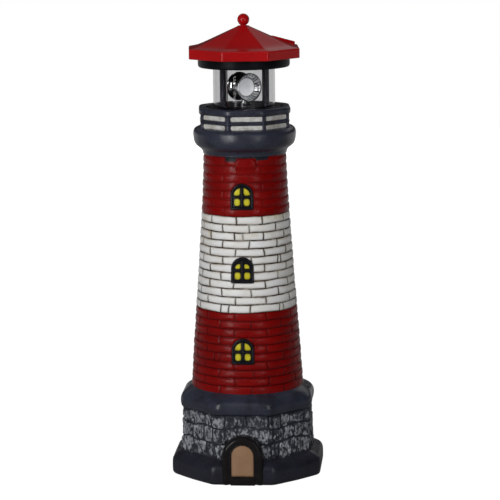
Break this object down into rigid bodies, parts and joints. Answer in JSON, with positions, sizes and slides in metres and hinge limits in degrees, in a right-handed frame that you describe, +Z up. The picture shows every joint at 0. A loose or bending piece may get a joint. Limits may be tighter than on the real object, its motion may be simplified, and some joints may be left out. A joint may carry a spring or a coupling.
{
  "type": "garden lighthouse ornament",
  "caption": "Striped brick lighthouse for the garden: a hollow cast tower with a drop-in solar lantern whose chrome beacon turns in a clear tube.",
  "frame": {"origin": "on the floor, on the tower's axis", "axes": "+Z up the tower, the doorway and the windows face -Y, +X to the right of someone facing the door"},
  "size_m": [0.14, 0.1426, 0.432],
  "materials": {
    "casting": "gloss-painted cast resin, deep red bands",
    "casting_white": "gloss-painted cast resin, off-white band with brown grout lines",
    "casting_slate": "gloss-painted cast resin, slate blue-black mouldings",
    "casting_stone": "cast stones, dark wash with dry-brushed pale edges",
    "window_black": "gloss black paint",
    "window_yellow": "yellow paint",
    "door_tan": "tan paint with a dark wash at its edges",
    "rubber_black": "matt rubber",
    "black_plastic": "satin black moulded plastic",
    "grey_plastic": "fine-textured dark plastic",
    "clear_plastic": "clear moulded plastic",
    "red_plastic": "satin red moulded plastic",
    "solar_cell": "dark blue cells under clear resin",
    "steel": "plated steel",
    "brass": "turned brass",
    "copper_windings": "enamelled copper windings",
    "nylon": "natural nylon",
    "chromed_plastic": "vacuum-metallised plastic",
    "led_resin": "clear epoxy lamp",
    "board_green": "green solder mask",
    "red_insulation": "vinyl wire insulation",
    "battery_sleeve": "shrink sleeve"
  },
  "bodies": {
    "tower": {"tower_shell": "casting"},
    "seat": {"seat_gasket": "rubber_black"},
    "head": {"head_base": "black_plastic", "lantern_cage": "black_plastic", "clear_tube": "clear_plastic", "ceiling_ring": "black_plastic", "roof_shell": "red_plastic", "finial_ball": "red_plastic", "solar_panel": "solar_cell", "roof_screws": "steel", "post_screws": "steel", "panel_leads": "red_insulation", "gear_plate": "grey_plastic", "gear_plate_screws": "steel", "idler_axles": "steel", "motor_can": "steel", "led_mast": "steel", "led_lamp": "led_resin", "circuit_board": "board_green", "board_parts": "black_plastic", "inner_wiring": "red_insulation", "battery_cell": "battery_sleeve", "contact_spring": "steel", "contact_plates": "steel", "bottom_cover": "grey_plastic", "cover_screws": "steel", "door_hinge_pin": "steel", "switch_body": "steel"},
    "beacon": {"beacon_hub": "chromed_plastic", "reflector_front": "chromed_plastic", "reflector_rear": "chromed_plastic", "output_gear": "nylon"},
    "idler_1": {"idler_gear_1": "nylon"},
    "idler_2": {"idler_gear_2": "nylon"},
    "motor_rotor": {"motor_armature": "copper_windings", "motor_pinion": "brass"},
    "door": {"battery_door": "grey_plastic"},
    "slider": {"switch_slider": "nylon"}
  },
  "joints": [
    {"name": "head_lift", "type": "slide", "parent": "tower", "child": "seat", "axis": [0, 0, 1], "range_m": [0, 0.08]},
    {"name": "head_swivel", "type": "hinge", "parent": "seat", "child": "head", "pos_m": [0, 0, 0.343], "axis": [0, 0, 1], "continuous": true},
    {"name": "beacon_spin", "type": "hinge", "parent": "head", "child": "beacon", "pos_m": [0, 0, 0.364], "axis": [0, 0, 1], "continuous": true},
    {"name": "idler_2_spin", "type": "hinge", "parent": "head", "child": "idler_2", "pos_m": [-0.01244, 0.00839, 0.34], "axis": [0, 0, 1], "continuous": true},
    {"name": "idler_1_spin", "type": "hinge", "parent": "head", "child": "idler_1", "pos_m": [-0.01439, -0.00396, 0.338], "axis": [0, 0, 1], "continuous": true},
    {"name": "motor_spin", "type": "hinge", "parent": "head", "child": "motor_rotor", "pos_m": [-0.00619, -0.01339, 0.325], "axis": [0, 0, 1], "continuous": true},
    {"name": "battery_door_hinge", "type": "hinge", "parent": "head", "child": "door", "pos_m": [-0.00143, 0.01362, 0.29575], "axis": [0.9945, 0.1045, 0], "range_deg": [0, 95]},
    {"name": "switch_slide", "type": "slide", "parent": "head", "child": "slider", "axis": [0.9945, 0.1045, 0], "range_m": [0, 0.0035]}
  ],
  "couplings": [
    {"joint": "idler_2_spin", "follows": "beacon_spin", "ratio": -5},
    {"joint": "idler_1_spin", "follows": "beacon_spin", "ratio": 20},
    {"joint": "motor_spin", "follows": "beacon_spin", "ratio": -80}
  ]
}
